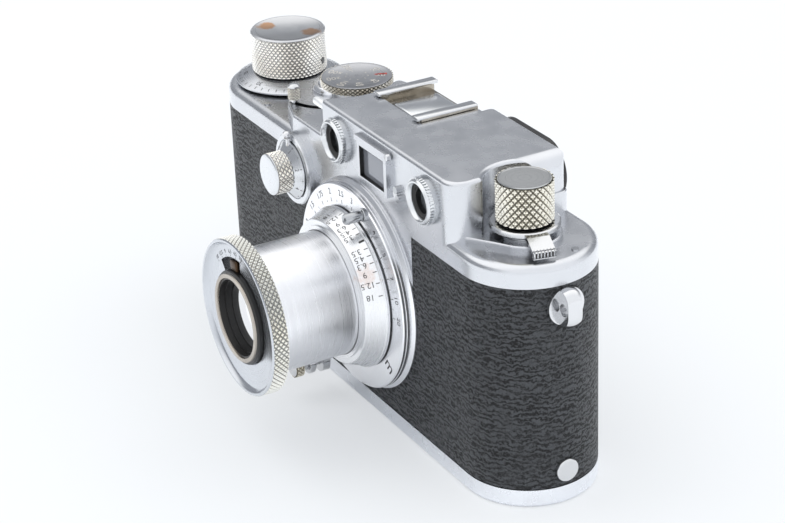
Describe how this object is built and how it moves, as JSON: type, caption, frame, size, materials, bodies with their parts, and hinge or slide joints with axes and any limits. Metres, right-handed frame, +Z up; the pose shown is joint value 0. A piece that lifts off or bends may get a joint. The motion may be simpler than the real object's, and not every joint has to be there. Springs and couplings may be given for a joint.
{
  "type": "rangefinder camera",
  "caption": "Vintage 35 mm rangefinder camera with a collapsible lens, knurled winding and rewind knobs, speed dials, accessory shoe and removable base plate.",
  "frame": {"origin": "centre of the flat base face that the camera stands on, on the body's two mid-planes", "axes": "+X to the right seen from the front and along the body's length, -Y the way the lens points, +Z up"},
  "size_m": [0.1434, 0.0627, 0.0705],
  "materials": {
    "satin_chrome": "fine satin chrome plating",
    "nickel": "knurled nickel plating, worn to brass on the edges",
    "bright_steel": "brushed",
    "brass": "machined",
    "inner_metal": "cast and machined",
    "black_metal": "matt black lacquer",
    "vulcanite": "grained hard rubber",
    "curtain_cloth": "rubberised cloth",
    "window_glass": "clear",
    "lens_glass": "clear, polished"
  },
  "bodies": {
    "body": {"body_shell": "inner_metal", "covering": "vulcanite", "top_cover": "satin_chrome", "film_crate": "black_metal", "shutter_curtains": "curtain_cloth", "pressure_plate": "black_metal", "lens_flange": "satin_chrome", "flange_screws": "bright_steel", "distance_ring": "satin_chrome", "focus_stop_pin": "bright_steel", "slow_dial_plate": "satin_chrome", "release_collar": "satin_chrome", "index_pin": "satin_chrome", "accessory_shoe": "bright_steel", "shoe_spring": "bright_steel", "cover_screws": "bright_steel", "window_bezel_left": "nickel", "window_bezel_right": "nickel", "window_glasses": "window_glass", "viewfinder_frame": "satin_chrome", "eyepiece_surround": "black_metal", "strap_lug_left": "bright_steel", "strap_lug_right": "bright_steel", "hook_stud": "bright_steel", "rangefinder_block": "black_metal"},
    "base": {"base_plate": "satin_chrome", "tripod_bush": "bright_steel"},
    "base_lock": {"lock_key": "nickel"},
    "winder": {"wind_knob": "nickel", "wind_shaft": "bright_steel", "take_up_spool": "black_metal"},
    "counter": {"counter_dial": "satin_chrome"},
    "sprocket": {"sprocket_shaft": "black_metal"},
    "drum": {"shutter_drum": "brass"},
    "roller": {"spring_roller": "brass"},
    "dial": {"speed_dial": "nickel"},
    "release": {"release_button": "satin_chrome"},
    "advance": {"advance_lever": "nickel"},
    "rewinder": {"rewind_knob": "nickel", "rewind_fork": "bright_steel"},
    "dioptre": {"dioptre_lever": "satin_chrome"},
    "slow_dial": {"slow_speed_dial": "nickel"},
    "cam": {"cam_ring": "brass"},
    "focus": {"depth_ring": "satin_chrome", "focus_lever": "satin_chrome"},
    "catch": {"focus_button": "nickel"},
    "tube": {"lens_tube": "bright_steel", "front_ring": "nickel", "lens_cell": "black_metal", "front_element": "lens_glass", "middle_element": "lens_glass", "rear_element": "lens_glass", "rear_cell": "black_metal", "iris_blades": "black_metal"},
    "aperture": {"aperture_ring": "nickel"},
    "rf_arm": {"rangefinder_arm": "brass"}
  },
  "joints": [
    {"name": "base_lift", "type": "slide", "parent": "body", "child": "base", "axis": [0, 0, -1], "range_m": [0, 0.03]},
    {"name": "base_lock_turn", "type": "hinge", "parent": "base", "child": "base_lock", "pos_m": [-0.053, 0, 0.0015], "axis": [0, 0, -1], "range_deg": [0, 180]},
    {"name": "wind_turn", "type": "hinge", "parent": "body", "child": "winder", "pos_m": [-0.053, 0, 0.06], "axis": [0, 0, -1], "continuous": true},
    {"name": "counter_turn", "type": "hinge", "parent": "body", "child": "counter", "pos_m": [-0.053, 0, 0.057], "axis": [0, 0, -1], "continuous": true},
    {"name": "sprocket_turn", "type": "hinge", "parent": "body", "child": "sprocket", "pos_m": [-0.031, 0, 0.03], "axis": [0, 0, -1], "continuous": true},
    {"name": "drum_turn", "type": "hinge", "parent": "body", "child": "drum", "pos_m": [-0.0184, 0, 0.03], "axis": [0, 0, -1], "continuous": true},
    {"name": "roller_turn", "type": "hinge", "parent": "body", "child": "roller", "pos_m": [0.0335, 0, 0.03], "axis": [0, 0, -1], "continuous": true},
    {"name": "speed_dial_turn", "type": "hinge", "parent": "drum", "child": "dial", "pos_m": [-0.0184, 0, 0.067], "axis": [0, 0, 1], "range_deg": [0, 300]},
    {"name": "release_press", "type": "slide", "parent": "body", "child": "release", "axis": [0, 0, -1], "range_m": [0, 0.002], "stiffness_N_per_m": 250, "springref_m": -0.002},
    {"name": "advance_lever_swing", "type": "hinge", "parent": "body", "child": "advance", "pos_m": [-0.031, 0, 0.054], "axis": [0, 0, 1], "range_deg": [0, 22]},
    {"name": "rewind_turn", "type": "hinge", "parent": "body", "child": "rewinder", "pos_m": [0.053, 0, 0.062], "axis": [0, 0, 1], "continuous": true},
    {"name": "dioptre_turn", "type": "hinge", "parent": "body", "child": "dioptre", "pos_m": [0.053, 0, 0.059], "axis": [0, 0, 1], "range_deg": [-35, 40]},
    {"name": "slow_dial_turn", "type": "hinge", "parent": "body", "child": "slow_dial", "pos_m": [-0.0203, -0.018, 0.0483], "axis": [0, 1, 0], "range_deg": [0, 210]},
    {"name": "focus_slide", "type": "slide", "parent": "body", "child": "cam", "axis": [0, -1, 0], "range_m": [0, 0.00264]},
    {"name": "focus_turn", "type": "hinge", "parent": "cam", "child": "focus", "pos_m": [0.009, -0.02, 0.0312], "axis": [0, -1, 0], "range_deg": [0, 165]},
    {"name": "catch_press", "type": "slide", "parent": "focus", "child": "catch", "axis": [0, 1, 0], "range_m": [0, 0.0012], "stiffness_N_per_m": 250, "springref_m": -0.002},
    {"name": "tube_collapse", "type": "slide", "parent": "focus", "child": "tube", "axis": [0, 1, 0], "range_m": [0, 0.0182]},
    {"name": "aperture_turn", "type": "hinge", "parent": "tube", "child": "aperture", "pos_m": [0.009, -0.045, 0.0312], "axis": [0, -1, 0], "range_deg": [-2, 22]},
    {"name": "rangefinder_arm_swing", "type": "hinge", "parent": "body", "child": "rf_arm", "pos_m": [0.024, 0.004, 0.0525], "axis": [0, 0, 1], "range_deg": [0, 13]}
  ],
  "couplings": [
    {"joint": "counter_turn", "follows": "wind_turn", "ratio": 0.025},
    {"joint": "sprocket_turn", "follows": "wind_turn", "ratio": -1},
    {"joint": "drum_turn", "follows": "wind_turn", "ratio": 1},
    {"joint": "roller_turn", "follows": "wind_turn", "ratio": 2.2308},
    {"joint": "focus_slide", "follows": "focus_turn", "m_per_rad": 0.00091326},
    {"joint": "rangefinder_arm_swing", "follows": "focus_turn", "ratio": 0.0761}
  ]
}
